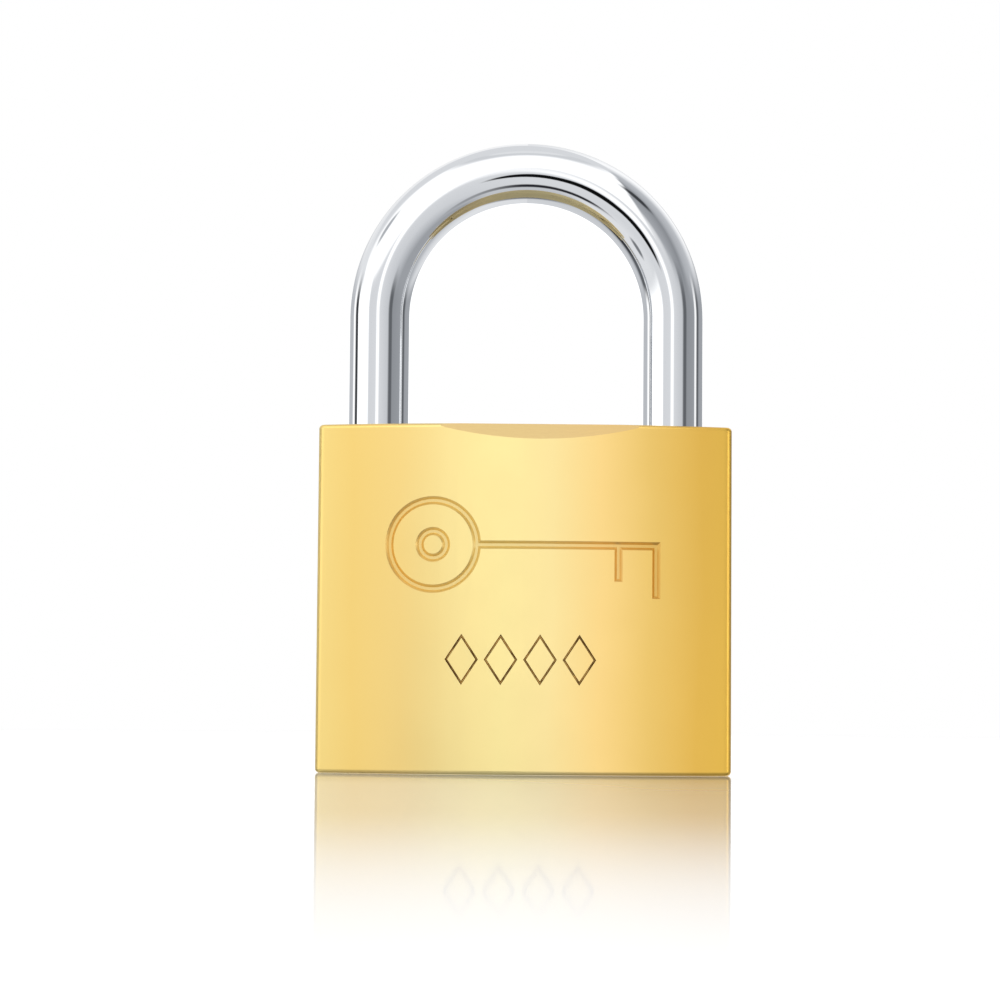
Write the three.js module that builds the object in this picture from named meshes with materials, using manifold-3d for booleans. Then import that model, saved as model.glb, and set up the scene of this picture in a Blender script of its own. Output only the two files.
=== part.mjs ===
// A 25 mm padlock: solid brass body, round steel shackle, one spring latch and a four pin core.
// Units are millimetres. The origin is the middle of the base, +Z is up, +X is the latch side.
// The lock is modelled shut but not locked: the core is turned a quarter turn, as its key would
// turn it, and holds the latch clear of the notch in the shackle.

import * as THREE from 'three';
import { mergeVertices } from 'three/addons/utils/BufferGeometryUtils.js';
import Module from 'manifold-3d';

const wasm = await Module();
wasm.setup();

// Body: a block with bulged front and back faces.
const bodyWidth = 25;
const bodyHeight = 21;
const bodyDepth = 11.5;
const faceRadius = 45;
const cornerRadius = 0.45;
const edgeBreak = 0.25;

// A flat is cut across the middle of the top edge, front and back. It meets the bulge in a lens shape,
// a little to the right of the middle as seen from either side.
const flatWidth = 13.4;
const flatHeight = 0.93;
const flatOffset = 0.9;

// Shackle: a rod bent to a half circle, the long heel leg at -X and the short toe leg at +X.
const rodRadius = 1.85;
const legOffset = 9.1;
const archHeight = 28.05;
const lift = 7;
const heelFoot = 4.2;
const toeFoot = 14.8;
const neckRadius = 1.1;
const neckTop = 14;
const notchDepth = 1.45;
const tipBevel = 0.6;

// Bores for the legs. The heel bore goes on below its leg to hold the shackle spring.
const heelBoreFoot = 1.6;
const toeBoreFoot = 14.6;

// Latch: a round bolt along X, drawn back by the core's tail pin in its slot.
const latchHeight = 17.8;
const latchRadius = 1.5;
const latchNose = 7.15;
const latchTail = -3.2;
const latchTravel = 1.45;
const latchSlotTop = 17.45;
const latchBevelRise = 0.1;
const spigotRadius = 0.7;
const spigotLength = 1.2;
const latchBoreEnd = -6.6;

// Core and its tail pin, which turns in a smaller bore above the core.
const coreRadius = 3.8;
const coreFace = 0.2;
const coreTop = 14.5;
const coreChamfer = 0.15;
const coreBoreTop = 14.6;
const tailRadius = 0.7;
const tailReach = latchTravel / Math.SQRT2;
const tailTop = 17.3;
const tailBoreRadius = 2;
const tailBoreTop = 17.4;
const grooveRadius = 3.1;
const grooveHeight = 13.3;

// Keyway: a slot with one jog, from its blind end to the end under the pins.
const keywayDepth = 12.3;
const keywayStart = -3;
const keywayEnd = 2.7;
const keywayHalfWidth = 0.45;
const keywayJog = 0.4;

// Pin chambers, drilled from the +X side wall. Along each lie a key pin, a driver pin, a spring and a plug.
const chamberCount = 4;
const firstChamber = 2.9;
const chamberPitch = 2.7;
const chamberRadius = 0.9;
const keyPinTips = [0.9, 1.5, 0.6, 1.2];
const keyPinTipRadius = 0.3;
const keyPinTipLength = 0.5;
const keyPinEnd = 3.68;
const driverStart = 3.88;
const driverEnd = 6.3;
const pinSpringStart = 6.35;
const pinSpringEnd = 10.75;
const chamberPlugStart = 10.8;

// Springs: mean coil radius, wire radius and number of turns.
const shackleSpring = { coil: 1.45, wire: 0.18, turns: 5 };
const latchSpring = { coil: 1.1, wire: 0.15, turns: 5 };
const pinSpring = { coil: 0.65, wire: 0.12, turns: 7 };
const springEndGap = 0.05;

// Cross pins: one runs in the heel leg's neck, the other in the core's groove.
const shacklePinRadius = 0.7;
const shacklePinHeight = 13.2;
const shacklePinTip = -10.35;
const corePinRadius = 0.5;
const corePinTip = 3.25;

// Clearances: running parts, shackle legs in their bores, pressed parts and the latch in its notch.
const runningGap = 0.05;
const legGap = 0.1;
const pressGap = 0.03;
const notchGap = 0.1;
const slotGap = 0.08;

const sideWall = bodyWidth / 2;
const halfDepth = bodyDepth / 2;
const beyond = 2;

// Facets round bores, pins and wires, and steps along bent pieces.
const boreSides = 48;
const rodSides = 32;
const pinSides = 24;
const wireSides = 5;
const archSteps = 36;
const coilSteps = 11;
const faceSteps = 24;
const cornerSteps = 4;

const chamberHeights = Array.from({ length: chamberCount }, (_, i) => firstChamber + i * chamberPitch);

// Solids and geometries.

function toSolid(geometry) {
  const bare = geometry.clone();
  bare.deleteAttribute('normal');
  bare.deleteAttribute('uv');
  const merged = mergeVertices(bare, 1e-5);
  const index = merged.index.array;
  const triangles = [];
  for (let i = 0; i < index.length; i += 3) {
    const [a, b, c] = [index[i], index[i + 1], index[i + 2]];
    if (a !== b && b !== c && c !== a) triangles.push(a, b, c);
  }
  return new wasm.Manifold(new wasm.Mesh({
    numProp: 3,
    vertProperties: new Float32Array(merged.attributes.position.array),
    triVerts: new Uint32Array(triangles),
  }));
}

function toGeometry(solid) {
  const mesh = solid.getMesh();
  const geometry = new THREE.BufferGeometry();
  geometry.setAttribute('position', new THREE.BufferAttribute(new Float32Array(mesh.vertProperties), 3));
  geometry.setIndex(new THREE.BufferAttribute(new Uint32Array(mesh.triVerts), 1));
  const faceted = geometry.toNonIndexed();
  faceted.computeVertexNormals();
  return faceted;
}

function cut(geometry, ...tools) {
  return tools.reduce((rest, tool) => rest.subtract(toSolid(tool)), toSolid(geometry));
}

// A turned piece: the profile's points are (radius, distance along the axis), and the axis is Z.
function turned(profile, sides = pinSides) {
  const points = profile.map(([radius, along]) => new THREE.Vector2(radius, along));
  return new THREE.LatheGeometry(points, sides).rotateX(Math.PI / 2);
}

function rodAlongZ(radius, low, high, sides = boreSides) {
  return turned([[0, low], [radius, low], [radius, high], [0, high]], sides);
}

function rodAlongX(radius, low, high, sides = pinSides) {
  return rodAlongZ(radius, low, high, sides).rotateY(Math.PI / 2);
}

function boxBetween(low, high) {
  const size = high.map((value, i) => value - low[i]);
  const middle = high.map((value, i) => (value + low[i]) / 2);
  return new THREE.BoxGeometry(...size).translate(...middle);
}

function arcPoints(x, y, radius, start, end, steps) {
  return Array.from({ length: steps + 1 }, (_, i) => {
    const angle = start + (end - start) * i / steps;
    return new THREE.Vector2(x + radius * Math.cos(angle), y + radius * Math.sin(angle));
  });
}

function circleShape(radius, sides) {
  const points = arcPoints(0, 0, radius, 0, 2 * Math.PI, sides);
  return new THREE.Shape(points.slice(0, -1));
}

// Body.

// Half of the outline: the +X corner, the bulged +Y face and the -X corner.
function bulgedSide() {
  const faceCentre = halfDepth - faceRadius;
  const cornerX = sideWall - cornerRadius;
  const cornerY = faceCentre + Math.sqrt((faceRadius - cornerRadius) ** 2 - cornerX ** 2);
  const turn = Math.atan2(cornerY - faceCentre, cornerX);
  return [
    ...arcPoints(cornerX, cornerY, cornerRadius, 0, turn, cornerSteps),
    ...arcPoints(0, faceCentre, faceRadius, turn, Math.PI - turn, faceSteps).slice(1, -1),
    ...arcPoints(-cornerX, cornerY, cornerRadius, Math.PI - turn, Math.PI, cornerSteps),
  ];
}

function bodyBlock() {
  const back = bulgedSide();
  const front = back.map((point) => new THREE.Vector2(-point.x, -point.y));
  const block = new THREE.ExtrudeGeometry(new THREE.Shape([...back, ...front]), {
    depth: bodyHeight - 2 * edgeBreak,
    bevelThickness: edgeBreak,
    bevelSize: edgeBreak,
    bevelOffset: -edgeBreak,
    bevelSegments: 2,
  });
  return block.translate(0, 0, edgeBreak);
}

// What is milled off the top edge of the face that the turn brings to the front.
function topFlatTool(turn) {
  const bulge = faceRadius - Math.sqrt(faceRadius ** 2 - (flatWidth / 2) ** 2);
  const tilt = Math.atan2(bulge, flatHeight);
  const thickness = 4;
  return new THREE.BoxGeometry(bodyWidth, thickness, thickness)
    .translate(0, -thickness / 2, 0)
    .rotateX(-tilt)
    .translate(0, bulge - faceRadius, bodyHeight)
    .rotateZ(Math.asin(flatOffset / faceRadius))
    .translate(0, faceRadius - halfDepth, 0)
    .rotateZ(turn);
}

function bodySolid() {
  const legBoreRadius = rodRadius + legGap;
  const sideBore = (radius, height, start = coreRadius / 2, sides = pinSides) =>
    rodAlongX(radius, start, sideWall + beyond, sides).translate(0, 0, height);
  return cut(
    bodyBlock(),
    topFlatTool(0),
    topFlatTool(Math.PI),
    rodAlongZ(legBoreRadius, heelBoreFoot, bodyHeight + beyond).translate(-legOffset, 0, 0),
    rodAlongZ(legBoreRadius, toeBoreFoot, bodyHeight + beyond).translate(legOffset, 0, 0),
    rodAlongZ(coreRadius + runningGap, -beyond, coreBoreTop),
    rodAlongZ(tailBoreRadius, coreTop, tailBoreTop),
    sideBore(latchRadius + runningGap, latchHeight, latchBoreEnd, rodSides),
    ...chamberHeights.map((height) => sideBore(chamberRadius, height)),
    sideBore(corePinRadius + pressGap, grooveHeight),
    rodAlongX(shacklePinRadius + pressGap, -sideWall - beyond, -legOffset).translate(0, 0, shacklePinHeight),
  );
}

// Shackle.

// The rod's middle line: one step up the heel leg, even steps round the arch, one step down the toe leg.
class RodLine extends THREE.Curve {
  steps = archSteps + 2;

  getUtoTmapping(u) {
    return u;
  }

  getPoint(t) {
    const pastHeel = t * this.steps;
    const pastArch = pastHeel - 1 - archSteps;
    if (pastHeel < 1) {
      return new THREE.Vector3(-legOffset, 0, THREE.MathUtils.lerp(heelFoot, archHeight, pastHeel));
    }
    if (pastArch > 0) {
      return new THREE.Vector3(legOffset, 0, THREE.MathUtils.lerp(archHeight, toeFoot, pastArch));
    }
    const angle = Math.PI * (1 - (pastHeel - 1) / archSteps);
    return new THREE.Vector3(legOffset * Math.cos(angle), 0, archHeight + legOffset * Math.sin(angle));
  }
}

// What is turned off a leg to leave a narrower neck.
function neckTool(low, high) {
  const outer = rodRadius + beyond;
  return turned([
    [neckRadius, low], [outer, low], [outer, high], [neckRadius, high], [neckRadius, low],
  ], rodSides);
}

// What is turned off the foot of a leg to bevel it.
function tipTool(foot, bevel) {
  const inner = rodRadius - bevel;
  const outer = rodRadius + beyond;
  return turned([
    [inner, foot], [inner, foot - beyond], [outer, foot - beyond], [outer, foot + bevel],
    [rodRadius, foot + bevel], [inner, foot],
  ], rodSides);
}

function shackleSolid() {
  const line = new RodLine();
  const rod = new THREE.ExtrudeGeometry(circleShape(rodRadius, rodSides), {
    steps: line.steps,
    extrudePath: line,
    bevelEnabled: false,
  });
  const neckFoot = shacklePinHeight - shacklePinRadius - notchGap - lift;
  const notchFace = legOffset - rodRadius + notchDepth;
  const notchHalfHeight = latchRadius + notchGap;
  const notch = boxBetween(
    [notchFace - beyond, -beyond, latchHeight - notchHalfHeight],
    [notchFace, beyond, latchHeight + notchHalfHeight],
  );
  return cut(
    rod,
    neckTool(neckFoot, neckTop).translate(-legOffset, 0, 0),
    tipTool(heelFoot, tipBevel / 2).translate(-legOffset, 0, 0),
    tipTool(toeFoot, tipBevel).translate(legOffset, 0, 0),
    notch,
  );
}

// Latch.

// The slot lets the latch spring back without the core, when the toe leg is pushed down on its bevel.
function latchSolid() {
  const bolt = turned([
    [0, latchTail - spigotLength], [spigotRadius, latchTail - spigotLength], [spigotRadius, latchTail],
    [latchRadius, latchTail], [latchRadius, latchNose], [0, latchNose],
  ], rodSides).rotateY(Math.PI / 2).translate(0, 0, latchHeight);
  const slotHalf = latchTravel / 2 + tailRadius + slotGap;
  const slot = boxBetween(
    [-slotHalf, -beyond, latchHeight - latchRadius - beyond],
    [slotHalf, beyond, latchSlotTop],
  );
  const bevelTool = new THREE.BoxGeometry(2 * beyond, 2 * beyond, 2 * beyond)
    .translate(0, 0, beyond)
    .rotateY(Math.PI / 4)
    .translate(latchNose, 0, latchHeight + latchBevelRise);
  return cut(bolt, slot, bevelTool);
}

// Core, in its locked position: the chambers face +X and the tail pin stands at 45 degrees.

function keywayShape() {
  const middle = (keywayStart + keywayEnd) / 2;
  const slant = 0.6;
  return new THREE.Shape([
    [keywayStart, -keywayHalfWidth - keywayJog],
    [middle - slant, -keywayHalfWidth - keywayJog],
    [middle, -keywayHalfWidth],
    [keywayEnd, -keywayHalfWidth],
    [keywayEnd, keywayHalfWidth],
    [middle + slant / 2, keywayHalfWidth],
    [middle - slant / 2, keywayHalfWidth - keywayJog],
    [keywayStart, keywayHalfWidth - keywayJog],
  ].map(([x, y]) => new THREE.Vector2(x, y)));
}

function coreSolid() {
  const grooveHalf = corePinRadius + runningGap;
  const tailPlace = tailReach * Math.SQRT1_2;
  const barrel = toSolid(turned([
    [0, coreFace], [coreRadius - coreChamfer, coreFace], [coreRadius, coreFace + coreChamfer],
    [coreRadius, grooveHeight - grooveHalf], [grooveRadius, grooveHeight - grooveHalf],
    [grooveRadius, grooveHeight + grooveHalf], [coreRadius, grooveHeight + grooveHalf],
    [coreRadius, coreTop], [0, coreTop],
  ], boreSides));
  const tailPin = toSolid(rodAlongZ(tailRadius, coreTop - beyond, tailTop, pinSides)
    .translate(tailPlace, tailPlace, 0));
  const keyway = new THREE.ExtrudeGeometry(keywayShape(), {
    depth: keywayDepth + beyond,
    bevelEnabled: false,
  }).translate(0, 0, -beyond);
  const chambers = chamberHeights.map((height) =>
    rodAlongX(chamberRadius, 0, coreRadius + beyond).translate(0, 0, height));
  return [keyway, ...chambers].reduce((rest, tool) => rest.subtract(toSolid(tool)), barrel.add(tailPin));
}

// Pins and springs.

function keyPinGeometry(tip) {
  const radius = chamberRadius - runningGap;
  return turned([
    [0, tip], [keyPinTipRadius, tip], [radius, tip + keyPinTipLength], [radius, keyPinEnd], [0, keyPinEnd],
  ]).rotateY(Math.PI / 2);
}

class CoilLine extends THREE.Curve {
  constructor(radius, length, turns) {
    super();
    Object.assign(this, { radius, length, turns });
  }

  getPoint(t) {
    const angle = 2 * Math.PI * this.turns * t;
    return new THREE.Vector3(this.radius * Math.cos(angle), this.radius * Math.sin(angle), this.length * t);
  }
}

// A coil spring that stands on Z between two seats.
function springAlongZ({ coil, wire, turns }, lowSeat, highSeat) {
  const endInset = springEndGap + wire;
  const line = new CoilLine(coil, highSeat - lowSeat - 2 * endInset, turns);
  return new THREE.ExtrudeGeometry(circleShape(wire, wireSides), {
    steps: turns * coilSteps,
    extrudePath: line,
    bevelEnabled: false,
  }).translate(0, 0, lowSeat + endInset);
}

function springAlongX(spring, lowSeat, highSeat) {
  return springAlongZ(spring, lowSeat, highSeat).rotateY(Math.PI / 2);
}

// Finishes.

function finish(color, roughness) {
  return new THREE.MeshStandardMaterial({ color, roughness, metalness: 1 });
}

const bodyBrass = finish(0xe6c878, 0.3);
const coreBrass = finish(0xc9a85c, 0.45);
const chrome = finish(0xd8dbde, 0.08);
const steel = finish(0x9a9c9e, 0.35);
const springSteel = finish(0xb4b6b8, 0.3);

// Assembly.

const padlock = new THREE.Group();

function place(name, shape, material, { x = 0, z = 0, parent = padlock } = {}) {
  const solid = shape.isBufferGeometry ? toSolid(shape) : shape;
  const mesh = new THREE.Mesh(toGeometry(solid), material);
  mesh.name = name;
  mesh.position.set(x, 0, z);
  parent.add(mesh);
}

place('body', bodySolid(), bodyBrass);
place('shackle', shackleSolid(), chrome);
place('shackle_spring', springAlongZ(shackleSpring, heelBoreFoot, heelFoot), springSteel, { x: -legOffset });
place('shackle_retaining_pin', rodAlongX(shacklePinRadius, -sideWall, shacklePinTip), steel,
  { z: shacklePinHeight });

const latchPlugStart = legOffset + rodRadius + legGap + pressGap;
const latchPlugRadius = latchRadius + runningGap - pressGap;
place('latch', latchSolid(), steel);
place('latch_spring', springAlongX(latchSpring, latchBoreEnd, latchTail), springSteel, { z: latchHeight });
place('latch_bore_plug', rodAlongX(latchPlugRadius, latchPlugStart, sideWall, rodSides), bodyBrass,
  { z: latchHeight });

// The core and the key pins in it are turned a quarter turn from the locked position.
const core = new THREE.Group();
core.rotation.z = Math.PI / 2;
padlock.add(core);
place('plug', coreSolid(), coreBrass, { parent: core });
place('plug_retaining_pin', rodAlongX(corePinRadius, corePinTip, sideWall), bodyBrass, { z: grooveHeight });

chamberHeights.forEach((z, i) => {
  const number = i + 1;
  const driver = rodAlongX(chamberRadius - runningGap, driverStart, driverEnd);
  const chamberPlug = rodAlongX(chamberRadius - pressGap, chamberPlugStart, sideWall);
  place(`key_pin_${number}`, keyPinGeometry(keyPinTips[i]), bodyBrass, { z, parent: core });
  place(`driver_pin_${number}`, driver, steel, { z });
  place(`pin_spring_${number}`, springAlongX(pinSpring, pinSpringStart, pinSpringEnd), springSteel, { z });
  place(`chamber_plug_${number}`, chamberPlug, bodyBrass, { z });
});

export default padlock;
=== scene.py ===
import math

import bmesh
import bpy
from mathutils import Matrix, Vector


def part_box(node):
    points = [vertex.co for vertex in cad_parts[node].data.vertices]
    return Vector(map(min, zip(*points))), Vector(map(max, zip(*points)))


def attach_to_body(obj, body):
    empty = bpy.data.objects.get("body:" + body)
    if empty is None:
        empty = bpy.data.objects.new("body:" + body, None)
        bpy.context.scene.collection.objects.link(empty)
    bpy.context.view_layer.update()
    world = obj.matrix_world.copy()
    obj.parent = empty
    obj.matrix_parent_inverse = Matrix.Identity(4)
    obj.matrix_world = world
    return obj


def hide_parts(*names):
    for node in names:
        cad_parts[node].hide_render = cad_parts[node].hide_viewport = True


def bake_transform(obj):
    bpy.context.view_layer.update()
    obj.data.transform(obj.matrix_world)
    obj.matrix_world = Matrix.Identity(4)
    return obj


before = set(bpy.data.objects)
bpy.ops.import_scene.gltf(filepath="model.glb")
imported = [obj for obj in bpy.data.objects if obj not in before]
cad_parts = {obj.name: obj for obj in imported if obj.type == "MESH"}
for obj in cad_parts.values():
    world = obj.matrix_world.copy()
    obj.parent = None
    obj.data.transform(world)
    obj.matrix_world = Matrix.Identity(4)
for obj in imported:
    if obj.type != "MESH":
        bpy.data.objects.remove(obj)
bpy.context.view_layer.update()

print("frame loaded:", len(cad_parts), "nodes")

# Pieces are modelled in millimetres and scaled to metres when they are finished.
millimetre = 0.001
quarterTurn = math.pi / 2


class Place:  # a CAD node's box, in millimetres
    def __init__(self, node):
        low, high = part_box(node)
        self.low = low / millimetre
        self.high = high / millimetre
        self.centre = (self.low + self.high) / 2
        self.size = self.high - self.low


body = Place("body")
shackle = Place("shackle")
core = Place("plug")
latch = Place("latch")

rodRadius = shackle.size.y / 2
legOffset = shackle.high.x - rodRadius
archHeight = shackle.high.z - legOffset - rodRadius
chamberCount = sum(name.startswith("key_pin_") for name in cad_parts)


def startFresh():
    if bpy.context.object and bpy.context.object.mode != "OBJECT":
        bpy.ops.object.mode_set(mode="OBJECT")
    bpy.ops.object.select_all(action="DESELECT")


def onlySelect(piece):
    startFresh()
    piece.select_set(True)
    bpy.context.view_layer.objects.active = piece


def editMode(mode="FACE"):
    bpy.ops.object.mode_set(mode="EDIT")
    bpy.ops.mesh.select_mode(type=mode)


def pick(kind, test):  # selects the verts, edges or faces that pass the test, in edit mode
    bpy.ops.mesh.select_all(action="DESELECT")
    mesh = bpy.context.object.data
    sketch = bmesh.from_edit_mesh(mesh)
    found = [part for part in getattr(sketch, kind) if test(part)]
    for part in found:
        part.select_set(True)
    sketch.select_flush_mode()
    bmesh.update_edit_mesh(mesh)
    return len(found)


def applyPlace(piece):
    onlySelect(piece)
    bpy.ops.object.transform_apply(location=True, rotation=True, scale=True)


def pointOut(piece):
    onlySelect(piece)
    editMode()
    bpy.ops.mesh.select_all(action="SELECT")
    bpy.ops.mesh.normals_make_consistent(inside=False)
    bpy.ops.object.mode_set(mode="OBJECT")


def applyModifier(piece, kind, **settings):
    onlySelect(piece)
    bpy.ops.object.modifier_add(type=kind)
    modifier = piece.modifiers[-1]
    for name, value in settings.items():
        setattr(modifier, name, value)
    bpy.ops.object.modifier_apply(modifier=modifier.name)


def giveFaces(piece, material, test):  # another finish for the faces that pass the test
    piece.data.materials.append(material)
    onlySelect(piece)
    editMode()
    pick("faces", test)
    piece.active_material_index = len(piece.data.materials) - 1
    bpy.ops.object.material_slot_assign()
    bpy.ops.object.mode_set(mode="OBJECT")


def combine(piece, tools, operation="DIFFERENCE"):
    for tool in tools:
        applyModifier(
            piece, "BOOLEAN", operation=operation, solver="MANIFOLD", material_mode="TRANSFER", object=tool,
        )
        bpy.data.objects.remove(tool)
    return piece


# A round piece made by extruding a disc from step to step. A step is (radius, distance along).
def turned(name, profile, sides=64, along="Z", at=(0, 0, 0), material=None):
    startFresh()
    radius, reach = profile[0]
    start = (0, 0, reach)
    bpy.ops.mesh.primitive_circle_add(vertices=sides, radius=radius, fill_type="NGON", location=start)
    piece = bpy.context.object
    piece.name = name
    applyPlace(piece)
    editMode()
    bpy.ops.mesh.select_all(action="SELECT")
    for nextRadius, nextReach in profile[1:]:
        bpy.ops.mesh.extrude_region_move(TRANSFORM_OT_translate={"value": (0, 0, nextReach - reach)})
        share = nextRadius / radius
        bpy.ops.transform.resize(value=(share, share, 1), center_override=(0, 0, nextReach))
        radius, reach = nextRadius, nextReach
    bpy.ops.mesh.select_all(action="SELECT")
    bpy.ops.mesh.normals_make_consistent(inside=False)
    bpy.ops.object.mode_set(mode="OBJECT")
    piece.rotation_euler = {"Z": (0, 0, 0), "X": (0, quarterTurn, 0), "Y": (-quarterTurn, 0, 0)}[along]
    piece.location = at
    applyPlace(piece)
    if material:
        piece.data.materials.append(material)
    return piece


# A block between two corners.
def block(name, low, high, material=None):
    startFresh()
    low, high = Vector(low), Vector(high)
    bpy.ops.mesh.primitive_cube_add(size=1, location=(low + high) / 2)
    piece = bpy.context.object
    piece.name = name
    piece.scale = high - low
    applyPlace(piece)
    if material:
        piece.data.materials.append(material)
    return piece


# A solid of one outline, from one height to another.
def outlineBlock(name, outline, low, high, material=None):
    startFresh()
    bpy.ops.mesh.primitive_circle_add(vertices=len(outline), radius=1, fill_type="NGON")
    piece = bpy.context.object
    piece.name = name
    for corner, (x, y) in zip(piece.data.vertices, outline):
        corner.co = (x, y, low)
    editMode()
    bpy.ops.mesh.select_all(action="SELECT")
    bpy.ops.mesh.extrude_region_move(TRANSFORM_OT_translate={"value": (0, 0, high - low)})
    bpy.ops.mesh.select_all(action="SELECT")
    bpy.ops.mesh.normals_make_consistent(inside=False)
    bpy.ops.object.mode_set(mode="OBJECT")
    if material:
        piece.data.materials.append(material)
    return piece


# Scales a modelled piece to metres and smooths its round faces.
def finishMesh(piece, smoothAngle=30):
    piece.scale = (millimetre, millimetre, millimetre)
    applyPlace(piece)
    bpy.ops.object.shade_smooth_by_angle(angle=math.radians(smoothAngle), keep_sharp_edges=False)
    editMode("EDGE")  # two finishes meet at a crisp edge
    if pick("edges", lambda edge: len({face.material_index for face in edge.link_faces}) > 1):
        bpy.ops.mesh.mark_sharp()
    bpy.ops.object.mode_set(mode="OBJECT")
    applyModifier(piece, "WEIGHTED_NORMAL", mode="FACE_AREA", weight=50, keep_sharp=True)
    return piece


# Sets a finished piece on its CAD body, in place of a CAD node.
def attach(piece, bodyName, node):
    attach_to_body(piece, bodyName)
    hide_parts(node)
    return piece


class Amount:  # a socket that holds a number, so that sums can be written as expressions
    def __init__(self, shading, socket):
        self.shading = shading
        self.socket = socket

    def __add__(self, other):
        return self.shading.maths("ADD", self, other)

    def __sub__(self, other):
        return self.shading.maths("SUBTRACT", self, other)

    def __rsub__(self, other):
        return self.shading.maths("SUBTRACT", other, self)

    def __mul__(self, other):
        return self.shading.maths("MULTIPLY", self, other)

    def __truediv__(self, other):
        return self.shading.maths("DIVIDE", self, other)

    def __pow__(self, other):
        return self.shading.maths("POWER", self, other)

    def __neg__(self):
        return self.shading.maths("MULTIPLY", self, -1)

    __radd__ = __add__
    __rmul__ = __mul__


class Shading:  # the nodes of one material, or of the world
    def __init__(self, owner):
        owner.use_nodes = True
        self.tree = owner.node_tree
        self.tree.nodes.clear()

    def node(self, kind, settings=None, inputs=None):
        made = self.tree.nodes.new("ShaderNode" + kind)
        for name, value in (settings or {}).items():
            if name == "stops":
                self.setStops(made.color_ramp, value)
            else:
                setattr(made, name, value)
        for name, value in (inputs or {}).items():
            self.feed(made.inputs[name], value)
        return made

    def setStops(self, ramp, stops):
        while len(ramp.elements) < len(stops):
            ramp.elements.new(1)
        for element, (position, colour) in zip(ramp.elements, stops):
            element.position = position
            element.color = (*colour, 1)

    def feed(self, socket, value):
        if isinstance(value, Amount):
            value = value.socket
        if isinstance(value, bpy.types.NodeSocket):
            self.tree.links.new(value, socket)
        else:
            socket.default_value = value

    def maths(self, operation, *values):
        made = self.node("Math", {"operation": operation}, dict(enumerate(values)))
        return Amount(self, made.outputs[0])

    def blendColours(self, share, first, second, mode="MIX"):
        settings = {"data_type": "RGBA", "blend_type": mode}
        return self.node("Mix", settings, {0: share, 6: first, 7: second}).outputs[2]

    def ease(self, value, start, end):  # 0 before start, 1 after end, smooth between
        settings = {"interpolation_type": "SMOOTHSTEP"}
        inputs = {"Value": value, "From Min": start, "From Max": end}
        return Amount(self, self.node("MapRange", settings, inputs).outputs["Result"])

    def parts(self, vector):  # the three numbers of a vector
        made = self.node("SeparateXYZ", None, {0: vector})
        return [Amount(self, output) for output in made.outputs]

    def place(self, scale=(1, 1, 1)):  # object coordinates, in millimetres
        inputs = {
            "Vector": self.node("TexCoord").outputs["Object"],
            "Scale": [share / millimetre for share in scale],
        }
        return self.node("Mapping", None, inputs).outputs["Vector"]

    def noise(self, vector, scale=1, detail=2, roughness=0.5):
        inputs = {"Vector": vector, "Scale": scale, "Detail": detail, "Roughness": roughness}
        return Amount(self, self.node("TexNoise", None, inputs).outputs[0])

    def bump(self, height, strength, distance):  # distance in millimetres
        inputs = {"Height": height, "Strength": strength, "Distance": distance * millimetre}
        return self.node("Bump", None, inputs).outputs["Normal"]


def colour(red, green, blue):
    return (red, green, blue, 1)


# A metal finish: the recipe fills in what varies over the surface.
def metal(name, baseColour, roughness, recipe=None, **constants):
    material = bpy.data.materials.new(name)
    shading = Shading(material)
    inputs = {"Base Color": baseColour, "Metallic": 1.0, "Roughness": roughness}
    inputs.update(constants)
    if recipe:
        inputs.update(recipe(shading))
    surface = shading.node("BsdfPrincipled", None, inputs)
    shading.node("OutputMaterial", None, {"Surface": surface.outputs["BSDF"]})
    return material


brass = {
    # The brass's colour with painted reflection and painted shade across the faces: palest near the middle
    # under a painted highlight, darker and more golden towards +x. Millimetres from the middle, and a colour.
    "tones": [
        (-12.5, (1.0, 0.75, 0.26)), (-10.4, (0.98, 0.695, 0.217)), (-7.4, (1.0, 0.73, 0.26)),
        (-4.4, (1.0, 0.80, 0.335)), (-1.4, (0.94, 0.78, 0.338)), (1.6, (0.96, 0.768, 0.342)),
        (4.6, (0.99, 0.70, 0.26)), (7.6, (0.895, 0.598, 0.165)), (10.6, (0.87, 0.53, 0.10)),
        (12.5, (0.91, 0.56, 0.095)),
    ],
    "milled": (0.76, 0.53, 0.24),
    "bored": (0.62, 0.42, 0.13),
    "engraved": (0.90, 0.86, 0.84),    # how a groove darkens the brass
    "fineDark": (0.24, 0.12, 0.03),    # the thin lines of the lozenges
    "fineLight": (0.62, 0.40, 0.12),
    "sawn": (0.40, 0.34, 0.20),        # top and bottom
    "core": (0.80, 0.60, 0.27),
    "keyway": (0.55, 0.38, 0.14),
    "crossPin": (0.82, 0.62, 0.28),
    "keyPin": (0.86, 0.64, 0.28),
    "roughness": 0.32,
}

steel = {"turned": (0.56, 0.57, 0.58), "wire": (0.55, 0.56, 0.57), "chromed": (0.93, 0.94, 0.955)}


# The brass's colour with its painted reflection and painted shade across the faces, drifting a little at
# random.
def brassWithPaintedSheen(shading, share=(1, 1, 1)):
    across, _, _ = shading.parts(shading.place())
    tone = shading.noise(shading.place(), scale=0.12, detail=2)
    ends = [place for place, _ in brass["tones"]]
    reach = ends[-1] - ends[0]
    stops = [((place - ends[0]) / reach, tint) for place, tint in brass["tones"]]
    drift = (tone - 0.5) * 0.06
    made = shading.node("ValToRGB", {"stops": stops}, {0: (across - ends[0]) / reach + drift}).outputs[0]
    return shading.blendColours(1.0, made, colour(*share), "MULTIPLY")


def satinBrassRecipe(shading):
    grain = shading.noise(shading.place(scale=(1, 1, 0.35)), scale=9, detail=3)
    blotches = shading.noise(shading.place(), scale=0.35, detail=3)
    height = grain * 0.6 + shading.noise(shading.place(), scale=2.2, detail=2) * 0.4
    return {
        # painted reflection and painted shade across the face, over the brass's colour
        "Base Color": brassWithPaintedSheen(shading),
        "Roughness": brass["roughness"] + (blotches - 0.5) * 0.1 + (grain - 0.5) * 0.06,
        "Normal": shading.bump(height, 0.06, 0.01),
    }


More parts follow.
